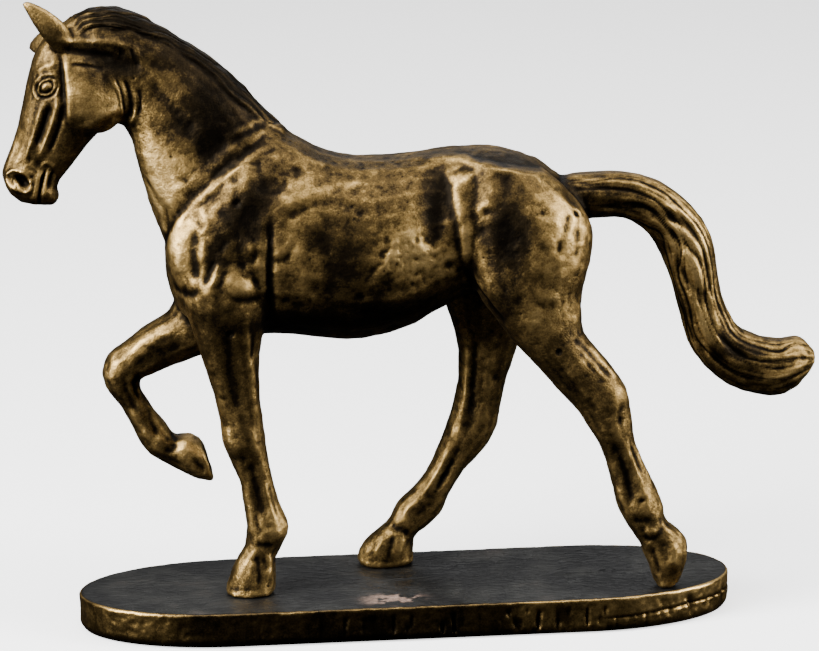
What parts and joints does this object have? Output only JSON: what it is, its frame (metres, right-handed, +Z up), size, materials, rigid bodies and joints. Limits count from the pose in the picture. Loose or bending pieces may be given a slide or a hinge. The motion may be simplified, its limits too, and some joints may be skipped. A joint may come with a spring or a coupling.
{
  "type": "horse statue",
  "caption": "Bronze figurine of a walking horse with a raised foreleg and its tail carried high, cast in sections that are pinned together and bolted to an oval plinth.",
  "frame": {"origin": "centre of the plinth's footprint, on the underside of the felt pad, where the statue rests", "axes": "+Z up; the horse faces -X, so +X runs from muzzle to tail; +Y points to the horse's off (right) side"},
  "size_m": [0.32, 0.072, 0.254],
  "materials": {
    "bronze": "rubbed dark-gold patina, satin",
    "dark_patina": "charcoal patina with rubbed bronze edges",
    "felt": "black felt",
    "steel": "plain zinc-plated"
  },
  "bodies": {
    "root": {"base_plate": "dark_patina", "felt_pad": "felt", "torso_casting": "bronze", "belly_core_plug": "bronze", "neck_head_casting": "bronze", "near_foreleg": "bronze", "off_foreleg": "bronze", "near_hind_leg": "bronze", "off_hind_leg": "bronze", "tail_casting": "bronze", "neck_pin": "bronze", "near_fore_pin": "bronze", "off_fore_pin": "bronze", "near_hind_pin": "bronze", "off_hind_pin": "bronze", "tail_pin": "bronze", "near_fore_stud": "steel", "near_fore_washer": "steel", "near_fore_nut": "steel", "near_hind_stud": "steel", "near_hind_washer": "steel", "near_hind_nut": "steel", "off_hind_stud": "steel", "off_hind_washer": "steel", "off_hind_nut": "steel"}
  },
  "joints": []
}
